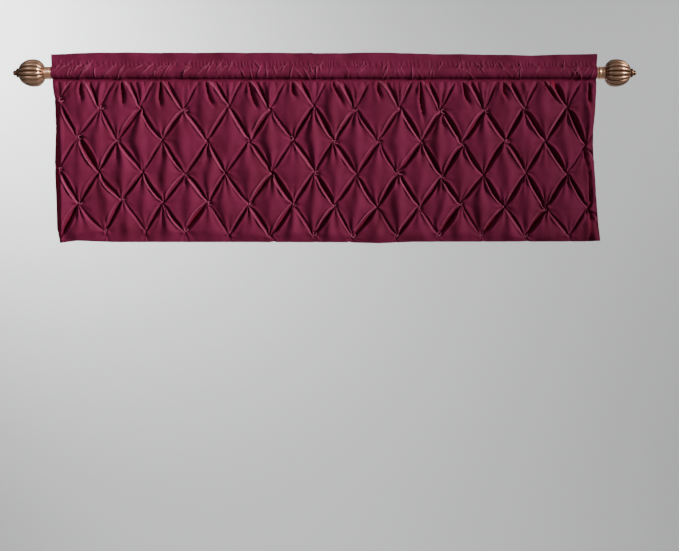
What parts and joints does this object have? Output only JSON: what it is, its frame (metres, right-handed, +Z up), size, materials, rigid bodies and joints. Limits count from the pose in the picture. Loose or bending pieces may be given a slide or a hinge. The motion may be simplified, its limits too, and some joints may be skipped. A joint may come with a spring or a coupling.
{
  "type": "window valance on curtain rod",
  "caption": "Wide window valance of pinch-tucked cloth in a diamond pattern, with a ruffled header and rod pocket, on a round rod with fluted ball finials.",
  "frame": {"origin": "on the rod's axis, at the middle of the valance", "axes": "+X along the rod to the right as seen from the room, +Y towards the wall, +Z up"},
  "size_m": [1.5586, 0.0652, 0.4754],
  "materials": {
    "tucked_panel": "woven polyester microfibre, burgundy",
    "heading": "woven polyester microfibre, burgundy, folded strip",
    "rod": "satin bronze finish on steel tube",
    "collar": "light antiqued bronze finish",
    "finial": "antiqued bronze finish on cast resin"
  },
  "bodies": {
    "root": {"tucked_panel": "tucked_panel", "heading": "heading", "rod": "rod", "collar_left": "collar", "collar_right": "collar", "finial_left": "finial", "finial_right": "finial"}
  },
  "joints": []
}
